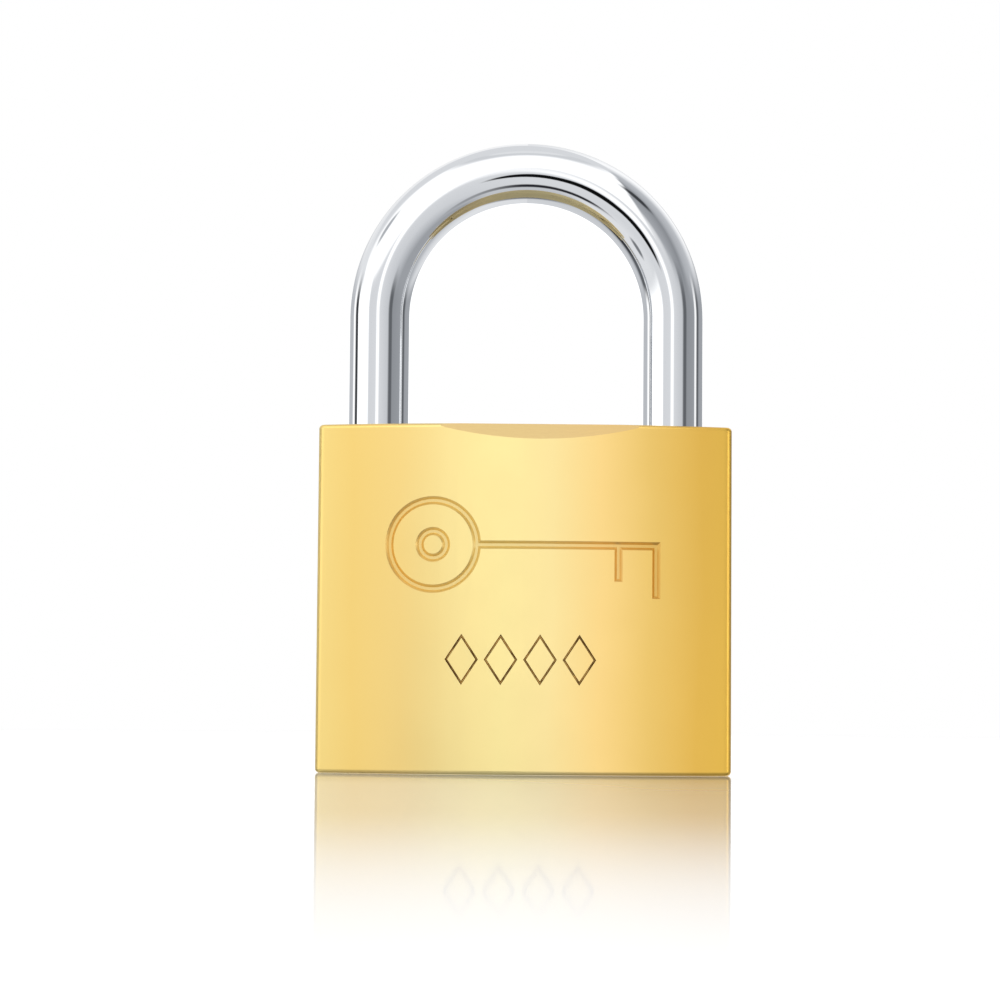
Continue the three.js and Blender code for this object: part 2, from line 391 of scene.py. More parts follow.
def engravedBrassRecipe(shading):
    cuts = shading.noise(shading.place(), scale=5, detail=3)
    return {
        # the groove's colour over the brass with its painted reflection and painted shade
        "Base Color": brassWithPaintedSheen(shading, brass["engraved"]),
        "Roughness": 0.4 + (cuts - 0.5) * 0.12,
        "Normal": shading.bump(cuts, 0.12, 0.01),
    }


def sawnBrassRecipe(shading):  # top and bottom: fine lines across, a little duller
    lines = shading.noise(shading.place(scale=(0.06, 1, 1)), scale=12, detail=4, roughness=0.6)
    stain = shading.noise(shading.place(), scale=0.5, detail=3)
    return {
        # the sawn colour in random patches over the brass with its painted reflection and painted shade
        "Base Color": shading.blendColours(stain * 0.35, colour(*brass["sawn"]), brassWithPaintedSheen(shading)),
        "Roughness": 0.38 + (lines - 0.5) * 0.2,
        "Normal": shading.bump(lines, 0.15, 0.015),
    }


def milledBrassRecipe(shading):  # the flats at the top edge: straight cutter marks along them
    marks = shading.noise(shading.place(scale=(0.12, 1, 1)), scale=14, detail=4, roughness=0.7)
    return {
        # cutter marks over the brass with its painted reflection and painted shade
        "Base Color": shading.blendColours(marks * 0.5, colour(*brass["milled"]), brassWithPaintedSheen(shading)),
        "Roughness": 0.36 + (marks - 0.5) * 0.2,
        "Normal": shading.bump(marks, 0.15, 0.02),
    }


# Fine cutter marks along a turned piece, and rings on its face if it turns about the lock's middle line.
def turnedMarks(along, pitch=0.25, strength=0.3, rings=False):
    def recipe(shading):
        x, y, z = shading.parts(shading.place())
        reach, first, second = {"X": (x, y, z), "Y": (y, x, z), "Z": (z, x, y)}[along]
        if rings:
            reach = reach + (first * first + second * second) ** 0.5
        marks = shading.maths("SINE", reach * (2 * math.pi / pitch))
        wear = shading.noise(shading.place(), scale=1.3, detail=3)
        return {
            "Roughness": 0.3 + marks * 0.03 + (wear - 0.5) * 0.2,
            "Normal": shading.bump(marks * 0.5 + wear, strength, 0.01),
        }
    return recipe


def stampedLineRecipe(shading):  # the fine lines are darker in some places than in others
    wear = shading.noise(shading.place(), scale=1.6, detail=3)
    return {
        "Base Color": shading.blendColours(
            shading.ease(wear, 0.35, 0.65), colour(*brass["fineDark"]), colour(*brass["fineLight"])
        ),
        "Roughness": 0.35 + wear * 0.2,
    }


def chromeRecipe(shading):
    haze = shading.noise(shading.place(), scale=0.5, detail=3)
    ripple = shading.noise(shading.place(), scale=0.16, detail=1)
    return {
        "Roughness": 0.035 + (haze - 0.5) * 0.03,
        "Normal": shading.bump(ripple, 0.12, 0.05),
    }


def drawnWireRecipe(shading):
    lines = shading.noise(shading.place(), scale=6, detail=3)
    return {
        "Roughness": 0.28 + (lines - 0.5) * 0.2,
        "Normal": shading.bump(lines, 0.15, 0.01),
    }


# The middle stop of the painted reflection: brass under a painted highlight. Each recipe gives its faces
# their own Base Color.
brassMiddle = colour(*brass["tones"][4][1])
satinBrass = metal("satinBrass", brassMiddle, brass["roughness"], satinBrassRecipe)
milledBrass = metal("milledBrass", brassMiddle, 0.4, milledBrassRecipe)
sawnBrass = metal("sawnBrass", brassMiddle, 0.38, sawnBrassRecipe)
boredBrass = metal("boredBrass", colour(*brass["bored"]), 0.35, turnedMarks("Z", pitch=0.3, strength=0.35))
engravedBrass = metal("engravedBrass", brassMiddle, 0.4, engravedBrassRecipe)
stampedBrass = metal("stampedBrass", colour(*brass["fineDark"]), 0.4, stampedLineRecipe)
coreMarks = turnedMarks("Z", pitch=0.22, strength=0.4, rings=True)
coreBrass = metal("coreBrass", colour(*brass["core"]), 0.3, coreMarks)
keywayBrass = metal("keywayBrass", colour(*brass["keyway"]), 0.4, turnedMarks("Z", pitch=0.5, strength=0.3))
crossPinBrass = metal("crossPinBrass", colour(*brass["crossPin"]), 0.3, turnedMarks("X", pitch=0.2))
keyPinBrass = metal("keyPinBrass", colour(*brass["keyPin"]), 0.28, turnedMarks("Y", pitch=0.15))
turnedSteel = metal("turnedSteel", colour(*steel["turned"]), 0.3, turnedMarks("X", pitch=0.18))
chrome = metal("polishedChrome", colour(*steel["chromed"]), 0.035, chromeRecipe)
springWire = metal("springWire", colour(*steel["wire"]), 0.28, drawnWireRecipe)
print("finishes made")


bodyShape = {
    "faceRadius": 45.0,        # bulge of front and back
    "cornerRadius": 0.45,
    "rimRadius": 0.25,         # top and bottom edges
    "flatWidth": 13.4,         # flats on the top edge
    "flatHeight": 0.93,
    "flatOffset": 0.9,
    "boreGap": 0.05,
    "legGap": 0.1,
    "pinGap": 0.03,            # round the pressed pins
    "latchBoreEnd": -6.6,
    "boreChamfer": 0.12,
    "heelBoreFoot": 1.6,
    "toeBoreFoot": 14.6,
    "coreBoreTop": 14.6,
    "tailBoreRadius": 2.0,
    "tailBoreTop": 17.4,
    "faceStrips": 280,         # facets round a full circle of the bulge's radius
}


def bulgedBlock(shape):
    centreY = shape["faceRadius"] - body.size.y / 2
    piece = block("brassBody", body.low, body.high, satinBrass)
    cylinders = []
    for side in (-1, 1):
        startFresh()
        bpy.ops.mesh.primitive_cylinder_add(
            vertices=shape["faceStrips"], radius=shape["faceRadius"], depth=body.size.z * 2,
            location=(0, side * centreY, body.centre.z),
        )
        cylinders.append(bpy.context.object)
    combine(piece, cylinders, "INTERSECT")
    halfWidth = body.size.x / 2
    turn = math.asin(halfWidth / shape["faceRadius"])
    cornerOffset = shape["cornerRadius"] * math.tan((quarterTurn - turn) / 2)
    onlySelect(piece)
    editMode("EDGE")

    def isCorner(edge):
        a, b = (v.co for v in edge.verts)
        return abs(a.x - b.x) < 0.01 and abs(abs(a.x) - halfWidth) < 0.01 and abs(a.z - b.z) > 1

    def isRim(edge):
        a, b = (v.co for v in edge.verts)
        return abs(a.z - b.z) < 0.01 and min(abs(a.z - body.low.z), abs(a.z - body.high.z)) < 0.01

    for isRounded, offset, segments in ((isCorner, cornerOffset, 6), (isRim, shape["rimRadius"], 5)):
        pick("edges", isRounded)
        bpy.ops.mesh.bevel(
            offset=offset, offset_type="OFFSET", segments=segments, profile=0.5, clamp_overlap=False,
        )
    bpy.ops.mesh.select_all(action="SELECT")
    bpy.ops.mesh.bisect(plane_co=body.centre, plane_no=(0, 1, 0))  # no face then has a whole bore inside it
    bpy.ops.object.mode_set(mode="OBJECT")
    return piece


# What is milled off the top edge, in front (turn 0) or behind (a half turn).
def flatTool(shape, turn):
    radius = shape["faceRadius"]
    bulge = radius - math.sqrt(radius ** 2 - (shape["flatWidth"] / 2) ** 2)
    tilt = math.atan2(bulge, shape["flatHeight"])
    tool = block("flatTool", (-20, -4, -4), (20, 0, 4), milledBrass)
    tool.matrix_world = (
        Matrix.Rotation(turn, 4, "Z")
        @ Matrix.Translation((0, radius - body.size.y / 2, 0))
        @ Matrix.Rotation(math.asin(shape["flatOffset"] / radius), 4, "Z")
        @ Matrix.Translation((0, bulge - radius, body.high.z))
        @ Matrix.Rotation(-tilt, 4, "X")
    )
    applyPlace(tool)
    return tool


# A drill for a bore: it widens at the mouth, which leaves the bore with a small chamfer.
def drill(radius, foot, mouth, along="Z", at=(0, 0, 0), chamfer=0.0, sides=64):
    past = math.copysign(2, mouth - foot)
    profile = [(radius, foot)]
    if chamfer:
        profile += [(radius, mouth - math.copysign(chamfer, past))]
        profile += [(radius + chamfer + abs(past), mouth + past)]
    else:
        profile += [(radius, mouth + past)]
    return turned("drill", profile, sides, along, at, boredBrass)


def boreTools(shape):
    chamfer = shape["boreChamfer"]
    legBore = rodRadius + shape["legGap"]
    coreRadius = core.size.x / 2
    latchPlug = Place("latch_bore_plug")
    corePin = Place("plug_retaining_pin")
    shacklePin = Place("shackle_retaining_pin")
    side = body.high.x
    pinGap = shape["pinGap"]
    tools = [
        drill(legBore, shape["heelBoreFoot"], body.high.z, at=(-legOffset, 0, 0), chamfer=chamfer),
        drill(legBore, shape["toeBoreFoot"], body.high.z, at=(legOffset, 0, 0), chamfer=chamfer),
        drill(coreRadius + shape["boreGap"], shape["coreBoreTop"], body.low.z, chamfer=chamfer, sides=96),
        drill(shape["tailBoreRadius"], core.low.z + 10, shape["tailBoreTop"] - 2),
        drill(latch.size.z / 2 + shape["boreGap"], shape["latchBoreEnd"], side, "X", (0, 0, latch.centre.z)),
        drill(corePin.size.z / 2 + pinGap, coreRadius / 2, side, "X", (0, 0, corePin.centre.z), sides=32),
        drill(shacklePin.size.z / 2 + pinGap, -legOffset, -side, "X", (0, 0, shacklePin.centre.z), sides=32),
    ]
    for number in range(1, chamberCount + 1):
        pin = Place(f"driver_pin_{number}")
        radius = pin.size.z / 2 + shape["boreGap"]
        tools.append(drill(radius, coreRadius / 2, side, "X", (0, 0, pin.centre.z), sides=48))
    return tools


# A key sign and a row of lozenges. Their cutters are made flat and then bent onto the bulge.
engraving = {
    "signHeight": 13.7,        # middle of the key sign above the base
    "signLeft": -8.4,
    "signRight": 8.2,
    "bowRadius": 2.65,         # middle of the ring's groove
    "eyeRadius": 0.8,
    "toothDepths": [1.9, 2.9],
    "toothPitch": 2.3,
    "width": 0.5,
    "depth": 0.16,
    "floorShare": 0.35,        # width of a groove's floor against its mouth
    "lozengeCount": 4,
    "lozengeHeight": 6.85,
    "lozengeCentre": -0.2,
    "lozengePitch": 2.35,
    "lozengeRadius": 1.4,
    "lozengeSqueeze": 0.66,
    "fineWidth": 0.24,
    "fineDepth": 0.14,
    "outside": 0.3,            # how far the cutters stand out of the face
}


# The cutter's widths where it stands out and at its floor.
def grooveWidths(width, depth):
    floor = width * engraving["floorShare"]
    outer = width + (width - floor) * engraving["outside"] / depth
    return outer, floor


def strokeTool(start, end, width, depth, material):
    startFresh()
    outer, floor = grooveWidths(width, depth)
    run = math.dist(start, end)
    angle = math.atan2(end[1] - start[1], end[0] - start[0])
    outside = engraving["outside"]
    bpy.ops.mesh.primitive_grid_add(x_subdivisions=max(2, round(run / 0.7)), y_subdivisions=1, size=1)
    tool = bpy.context.object
    editMode()
    bpy.ops.mesh.select_all(action="SELECT")
    bpy.ops.transform.resize(value=(run + outer, outer, 1), center_override=(0, 0, 0))
    bpy.ops.mesh.extrude_region_move(TRANSFORM_OT_translate={"value": (0, 0, -outside - depth)})
    share = (run + floor) / (run + outer)
    bpy.ops.transform.resize(value=(share, floor / outer, 1), center_override=(0, 0, 0))
    bpy.ops.object.mode_set(mode="OBJECT")
    tool.rotation_euler = (quarterTurn, -angle, 0)
    tool.location = ((start[0] + end[0]) / 2, -outside, (start[1] + end[1]) / 2)
    applyPlace(tool)
    pointOut(tool)
    tool.data.materials.append(material)
    return tool


def ringTool(centre, radius, width, depth, material, steps=72, squeeze=1.0):
    startFresh()
    outer, floor = grooveWidths(width, depth)
    outside = engraving["outside"]
    bpy.ops.mesh.primitive_plane_add(size=1, rotation=(quarterTurn, 0, 0))
    tool = bpy.context.object
    applyPlace(tool)
    editMode("VERT")
    bpy.ops.mesh.select_all(action="SELECT")
    bpy.ops.transform.resize(value=(outer, 1, outside + depth), center_override=(0, 0, 0))
    bpy.ops.transform.translate(value=(radius, 0, (outside - depth) / 2))
    pick("verts", lambda vert: vert.co.z < 0)
    bpy.ops.transform.resize(value=(floor / outer, 1, 1), center_override=(radius, 0, -depth))
    bpy.ops.mesh.select_all(action="SELECT")
    bpy.ops.mesh.delete(type="ONLY_FACE")
    bpy.ops.mesh.select_all(action="SELECT")
    fullTurn = 2 * math.pi
    bpy.ops.mesh.spin(steps=steps, angle=fullTurn, center=(0, 0, 0), axis=(0, 0, 1), use_auto_merge=False)
    bpy.ops.mesh.select_all(action="SELECT")
    bpy.ops.mesh.remove_doubles(threshold=0.001)
    bpy.ops.object.mode_set(mode="OBJECT")
    tool.scale = (squeeze, 1, 1)
    tool.rotation_euler = (quarterTurn, 0, 0)
    tool.location = (centre[0], 0, centre[1])
    applyPlace(tool)
    pointOut(tool)
    tool.data.materials.append(material)
    return tool


def bendOntoFace(tool, faceRadius):
    places = [vert.co.x for vert in tool.data.vertices]
    applyModifier(
        tool, "SIMPLE_DEFORM", deform_method="BEND", deform_axis="Z",
        angle=(max(places) - min(places)) / faceRadius,
    )
    tool.location = (0, body.low.y, 0)
    applyPlace(tool)
    return tool


def engravingTools(shape):
    wide = (shape["width"], shape["depth"], engravedBrass)
    fine = (shape["fineWidth"], shape["fineDepth"], stampedBrass)
    middle = shape["signHeight"]
    bowX = shape["signLeft"] + shape["bowRadius"] + shape["width"] / 2
    shaftEnd = shape["signRight"] - shape["width"] / 2
    tools = [
        ringTool((bowX, middle), shape["bowRadius"], *wide),
        ringTool((bowX, middle), shape["eyeRadius"], *wide, steps=36),
        strokeTool((bowX + shape["bowRadius"], middle), (shaftEnd, middle), *wide),
    ]
    for i, depth in enumerate(shape["toothDepths"]):
        x = shaftEnd - shape["toothPitch"] * (len(shape["toothDepths"]) - 1 - i)
        tools.append(strokeTool((x, middle), (x, middle - depth), *wide))
    for i in range(shape["lozengeCount"]):
        x = shape["lozengeCentre"] + shape["lozengePitch"] * (i - (shape["lozengeCount"] - 1) / 2)
        place = (x, shape["lozengeHeight"])
        tools.append(ringTool(place, shape["lozengeRadius"], *fine, steps=4, squeeze=shape["lozengeSqueeze"]))
    return [bendOntoFace(tool, bodyShape["faceRadius"]) for tool in tools]


def makeBody(shape):
    piece = bulgedBlock(shape)
    combine(piece, [flatTool(shape, 0), flatTool(shape, math.pi)])
    combine(piece, boreTools(shape))
    combine(piece, engravingTools(engraving))

    def isEnd(face):  # the top and the bottom
        height = face.calc_center_median().z
        return abs(face.normal.z) > 0.99 and (height < body.low.z + 0.01 or height > body.high.z - 0.01)

    giveFaces(piece, sawnBrass, isEnd)
    return attach(finishMesh(piece, 24), "case", "body")


brassBody = makeBody(bodyShape)
print("body made:", len(brassBody.data.polygons), "faces")


shackleShape = {
    "sides": 72,
    "archSteps": 72,
    "neckRadius": 1.1,
    "neckFoot": 5.4,
    "neckTop": 14.0,
    "neckBlend": 0.35,
    "toeFoot": 14.8,
    "heelBevel": 0.3,
    "toeBevel": 0.6,
    "notchDepth": 1.45,
    "notchHalfHeight": 1.6,
}


def makeShackle(shape):
    foot = shackle.low.z
    blend = shape["neckBlend"]
    profile = [
        (rodRadius - shape["heelBevel"], foot),
        (rodRadius, foot + shape["heelBevel"]),
        (rodRadius, shape["neckFoot"] - blend / 2),
        (rodRadius - 0.1, shape["neckFoot"]),
        (shape["neckRadius"] + 0.1, shape["neckFoot"] + 0.02),
        (shape["neckRadius"], shape["neckFoot"] + 0.15),
        (shape["neckRadius"], shape["neckTop"] - 0.15),
        (shape["neckRadius"] + 0.1, shape["neckTop"] - 0.02),
        (rodRadius - 0.1, shape["neckTop"]),
        (rodRadius, shape["neckTop"] + blend / 2),
        (rodRadius, archHeight),
    ]
    piece = turned("chromeShackle", profile, shape["sides"], at=(-legOffset, 0, 0), material=chrome)
    onlySelect(piece)
    editMode("FACE")
    pick("faces", lambda face: face.normal.z > 0.9 and face.calc_center_median().z > archHeight - 0.01)
    bpy.ops.mesh.spin(
        steps=shape["archSteps"], angle=-math.pi, center=(0, 0, archHeight), axis=(0, 1, 0),
        use_auto_merge=False,
    )
    toeFoot, bevel = shape["toeFoot"], shape["toeBevel"]
    for nextRadius, nextHeight in [(rodRadius, toeFoot + bevel), (rodRadius - bevel, toeFoot)]:
        sketch = bmesh.from_edit_mesh(piece.data)
        height = next(face.calc_center_median().z for face in sketch.faces if face.select)
        bpy.ops.mesh.extrude_region_move(TRANSFORM_OT_translate={"value": (0, 0, nextHeight - height)})
        share = nextRadius / rodRadius
        bpy.ops.transform.resize(value=(share, share, 1), center_override=(legOffset, 0, nextHeight))
    bpy.ops.mesh.select_all(action="SELECT")
    bpy.ops.mesh.remove_doubles(threshold=0.0005)
    bpy.ops.mesh.normals_make_consistent(inside=False)
    bpy.ops.object.mode_set(mode="OBJECT")
    face = legOffset - rodRadius + shape["notchDepth"]
    low, high = latch.centre.z - shape["notchHalfHeight"], latch.centre.z + shape["notchHalfHeight"]
    notch = block("notchTool", (face - 3, -3, low), (face, 3, high), chrome)
    combine(piece, [notch])
    return attach(finishMesh(piece), "shackle", "shackle")


chromeShackle = makeShackle(shackleShape)
print("shackle made:", len(chromeShackle.data.polygons), "faces")


coreShape = {
    "face": 0.2,               # the core's face above the body's foot
    "top": 14.5,
    "chamfer": 0.15,
    "grooveRadius": 3.1,
    "grooveHalf": 0.55,
    "chamberGap": 0.05,
    "keywayDepth": 12.3,
    "keywayLow": -3.0,         # the keyway's ends, on its own long axis
    "keywayHigh": 2.7,
    "keywayHalf": 0.45,
    "keywayJog": 0.4,
    "keywaySlant": 0.6,
    "keywayBreak": 0.08,       # broken edge at the mouth
    "tailRadius": 0.7,
    "tailReach": 1.025,
    "tailTop": 17.3,
}


# The core is made as it stands when locked, with its chambers towards the side wall, and then turned open.
def makeCore(shape):
    radius = core.size.x / 2
    groove = Place("plug_retaining_pin").centre.z
    low, high = groove - shape["grooveHalf"], groove + shape["grooveHalf"]
    chamfer, face = shape["chamfer"], shape["face"]
    piece = turned("corePlug", [
        (radius - chamfer, face), (radius, face + chamfer), (radius, low),
        (shape["grooveRadius"], low), (shape["grooveRadius"], high), (radius, high),
        (radius, shape["top"] - 0.1), (radius - 0.1, shape["top"]),
    ], sides=96, material=coreBrass)
    tailPlace = shape["tailReach"] * math.sqrt(0.5)
    tail = turned("tailPin", [
        (shape["tailRadius"], shape["top"] - 2), (shape["tailRadius"], shape["tailTop"] - 0.15),
        (shape["tailRadius"] - 0.15, shape["tailTop"]),
    ], sides=40, at=(tailPlace, tailPlace, 0), material=coreBrass)
    combine(piece, [tail], "UNION")
    left, right, half, jog = (shape["keyway" + name] for name in ("Low", "High", "Half", "Jog"))
    middle, slant = (left + right) / 2, shape["keywaySlant"]
    outline = [
        (left, -half - jog), (middle - slant, -half - jog), (middle, -half), (right, -half), (right, half),
        (middle + slant / 2, half), (middle - slant / 2, half - jog), (left, half - jog),
    ]
    tools = [outlineBlock("keywayTool", outline, face - 1, shape["keywayDepth"], keywayBrass)]
    for number in range(1, chamberCount + 1):
        pin = Place(f"driver_pin_{number}")
        bore = pin.size.z / 2 + shape["chamberGap"]
        profile = [(bore, 0), (bore, radius + 1)]
        tools.append(turned("chamberTool", profile, 40, "X", (0, 0, pin.centre.z), keywayBrass))
    combine(piece, tools)
    onlySelect(piece)
    editMode("EDGE")
    pick("edges", lambda edge: all(
        abs(vert.co.z - face) < 0.001 and vert.co.xy.length < radius - 0.3 for vert in edge.verts
    ))
    bpy.ops.mesh.bevel(offset=shape["keywayBreak"], offset_type="OFFSET", segments=1, clamp_overlap=True)
    bpy.ops.object.mode_set(mode="OBJECT")
    piece.rotation_euler = (0, 0, quarterTurn)
    applyPlace(piece)
    return attach(finishMesh(piece), "core", "plug")


latchShape = {
    "spigotRadius": 0.7,
    "spigotLength": 1.2,
    "slotHalf": 1.505,
    "slotTop": 17.45,
    "bevelRise": 0.1,          # where the bevel leaves the nose, above the middle
    "edgeBreak": 0.1,
}


def makeLatch(shape):
    radius = latch.size.z / 2
    tail, nose, middle = latch.low.x, latch.high.x, latch.centre.z
    step = tail + shape["spigotLength"]
    small = shape["edgeBreak"]
    spigot = shape["spigotRadius"]
    piece = turned("latchBolt", [
        (spigot - small, tail), (spigot, tail + small), (spigot, step),
        (radius - small, step), (radius, step + small), (radius, nose - small), (radius - small, nose),
    ], 72, "X", (0, 0, middle), turnedSteel)
    half = shape["slotHalf"]
    slot = block("slotTool", (-half, -3, middle - 4), (half, 3, shape["slotTop"]), turnedSteel)
    bevel = block("bevelTool", (-4, -4, 0), (4, 4, 8), turnedSteel)
    bevel.rotation_euler = (0, quarterTurn / 2, 0)
    bevel.location = (nose, 0, middle + shape["bevelRise"])
    applyPlace(bevel)
    combine(piece, [slot, bevel])
    return attach(finishMesh(piece), "latch", "latch")


# A round pin that lies along X in its CAD node's place, with broken edges.
def crossPin(name, node, material, sides=48, edgeBreak=0.08, waist=0.0, dimple=0.0):
    place = Place(node)
    radius = place.size.z / 2
    profile = [
        (radius - edgeBreak, place.low.x), (radius, place.low.x + edgeBreak),
        (radius, place.high.x - edgeBreak), (radius - edgeBreak, place.high.x),
    ]
    if dimple:  # the mark that a lathe centre leaves
        profile += [(dimple, place.high.x), (dimple * 0.2, place.high.x - dimple * 0.6)]
    if waist:  # a shallow groove between the two ends
        middle, reach = place.centre.x, place.size.x * 0.22
        profile[2:2] = [
            (radius, middle - reach), (radius - waist, middle - reach + waist),
            (radius - waist, middle + reach - waist), (radius, middle + reach),
        ]
    return finishMesh(turned(name, profile, sides, "X", (0, place.centre.y, place.centre.z), material))


keyPinShape = {"tipRadius": 0.3, "tipLength": 0.5, "edgeBreak": 0.1}


def keyPin(number, shape):
    place = Place(f"key_pin_{number}")
    radius = place.size.z / 2
    tip, end = place.low.y, place.high.y
    tipRadius = shape["tipRadius"]
    piece = turned(f"keyPin{number}", [
        (tipRadius * 0.6, tip), (tipRadius, tip + 0.06), (radius, tip + shape["tipLength"]),
        (radius, end - shape["edgeBreak"]), (radius - shape["edgeBreak"], end),
    ], 48, "Y", (0, 0, place.centre.z), keyPinBrass)
    return attach(finishMesh(piece), "core", f"key_pin_{number}")


# A coil spring with its end coils closed, between its CAD node's two ends.
def coilSpring(name, node, turns, wire, coil, along, closedTurns=1.0):
    place = Place(node)
    axis = "XYZ".index(along)
    low, high = place.low[axis], place.high[axis]
    startFresh()
    steps, sides = 28, 10
    start = {"rotation": (quarterTurn, 0, 0), "location": (coil, 0, 0)}
    bpy.ops.mesh.primitive_circle_add(vertices=sides, radius=wire, **start)
    piece = bpy.context.object
    piece.name = name
    applyPlace(piece)
    applyModifier(
        piece, "SCREW", axis="Z", angle=2 * math.pi, screw_offset=1.0, iterations=turns, steps=steps,
        render_steps=steps, use_merge_vertices=False,
    )
    # Each ring of the wire goes to its height: the end coils lie close, the coils between are even.
    closed = 2.15 * wire
    run = high - low - 2 * wire
    betweenCoils = (run - 2 * closed * closedTurns) / (turns - 2 * closedTurns)

    def height(turn):
        if turn < closedTurns:
            return closed * turn
        if turn > turns - closedTurns:
            return run - closed * (turns - turn)
        return closed * closedTurns + betweenCoils * (turn - closedTurns)

    for i, vert in enumerate(piece.data.vertices):
        turn = (i // sides) / steps
        vert.co.z += height(turn) - turn + low + wire
    onlySelect(piece)
    editMode("EDGE")
    bpy.ops.mesh.select_all(action="SELECT")
    bpy.ops.mesh.fill_holes(sides=0)
    bpy.ops.mesh.normals_make_consistent(inside=False)
    bpy.ops.object.mode_set(mode="OBJECT")
    piece.data.materials.append(springWire)
    if along == "X":
        piece.rotation_euler = (0, quarterTurn, 0)
    piece.location = [0 if i == axis else place.centre[i] for i in range(3)]
    applyPlace(piece)
    return piece


makeCore(coreShape)
makeLatch(latchShape)
borePlug = crossPin("latchBorePlug", "latch_bore_plug", crossPinBrass, 72, 0.1, dimple=0.35)
attach(borePlug, "case", "latch_bore_plug")
shacklePin = crossPin("shacklePin", "shackle_retaining_pin", turnedSteel)
attach(shacklePin, "case", "shackle_retaining_pin")
corePin = crossPin("corePin", "plug_retaining_pin", crossPinBrass)
attach(corePin, "case", "plug_retaining_pin")
for number in range(1, chamberCount + 1):
    keyPin(number, keyPinShape)
print("core, latch and pins made")


# What repeats in the chambers is modelled once, in the first, and copied.
def fillChambers(piece, nodeName):
    first = Place(f"{nodeName}_1").centre.z
    name = piece.name
    copies = [piece]
    for number in range(2, chamberCount + 1):
        onlySelect(piece)
        bpy.ops.object.duplicate(linked=False)
        copy = bpy.context.object
        copy.location = (0, 0, (Place(f"{nodeName}_{number}").centre.z - first) * millimetre)
        applyPlace(copy)
        copies.append(copy)
    for number, copy in enumerate(copies, 1):
        copy.name = f"{name}{number}"
        attach(copy, "case", f"{nodeName}_{number}")


springs = {
    "pin": {"turns": 7, "wire": 0.12, "coil": 0.65, "along": "X"},
    "latch": {"turns": 5, "wire": 0.15, "coil": 1.1, "along": "X"},
    "shackle": {"turns": 5, "wire": 0.18, "coil": 1.45, "along": "Z"},
}

driverPin = crossPin("driverPin", "driver_pin_1", turnedSteel, waist=0.12)
fillChambers(driverPin, "driver_pin")
chamberPlug = crossPin("chamberPlug", "chamber_plug_1", crossPinBrass, dimple=0.2)
fillChambers(chamberPlug, "chamber_plug")
pinSpring = finishMesh(coilSpring("pinSpring", "pin_spring_1", **springs["pin"]))
fillChambers(pinSpring, "pin_spring")

# These two springs are made in place of their CAD nodes and left unattached; their two ends are worked out
# but not used.
for pushed in ("latch", "shackle"):
    node = f"{pushed}_spring"
    spring = finishMesh(coilSpring(f"{pushed}Spring", node, **springs[pushed]))
    low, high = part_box(node)
    axis = "XYZ".index(springs[pushed]["along"])
    start, end = (low + high) / 2, (low + high) / 2
    start[axis], end[axis] = low[axis], high[axis]
    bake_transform(spring)
    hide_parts(node)
print("springs and chambers filled")


studio = {
    "floorReach": 150,         # millimetres from the lock to the floor's edge
    "floorWhite": 0.92,
    "mirrorShare": 0.74,       # how much the floor mirrors close to the lock
    "mirrorTone": 0.9,
    "mirrorStart": 45,
    "mirrorEnd": 125,
    "mirrorRoughness": 0.04,
    "nearShade": 0.3,          # how much less the floor is lit in front of the lock, on the latch side
    "shadeTaper": 0.05,        # how fast that shade narrows with the distance from the lock
    "shadeStart": 8,
    "shadeEnd": 96,
    "contactShade": 0.25,      # the dark line where the lock stands
    "contactEnd": 18,
    "backdrop": 1.4,           # straight behind the lock, where the floor mirrors it
    "floorLight": 1.22,        # plain white light on the floor
}

